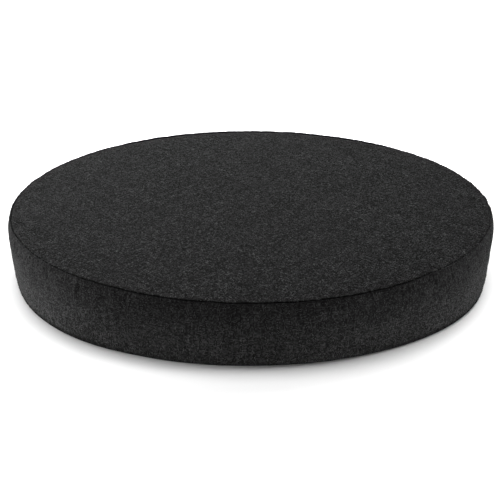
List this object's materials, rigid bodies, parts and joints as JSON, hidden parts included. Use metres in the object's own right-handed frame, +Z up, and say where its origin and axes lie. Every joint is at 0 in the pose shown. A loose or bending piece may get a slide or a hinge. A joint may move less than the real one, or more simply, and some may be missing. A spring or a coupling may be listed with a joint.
{
  "type": "round seat cushion",
  "caption": "Round boxed seat cushion: a slightly crowned top panel and a flat underside sewn to a boxing strip, in dark slubby plain-weave cloth.",
  "frame": {"origin": "middle of the underside, on the surface that the cushion lies on", "axes": "+Z up through the middle of the top panel; +Y away from the picture's camera, +X to its right"},
  "size_m": [0.4062, 0.406, 0.0545],
  "materials": {
    "top_cloth": "matt slubby plain weave, nearly black, laid on the bias",
    "boxing_cloth": "matt slubby plain weave, nearly black, yarns upright and round the side",
    "bottom_cloth": "matt slubby plain weave, nearly black"
  },
  "bodies": {
    "root": {"top_panel": "top_cloth", "boxing_band": "boxing_cloth", "bottom_panel": "bottom_cloth"}
  },
  "joints": []
}
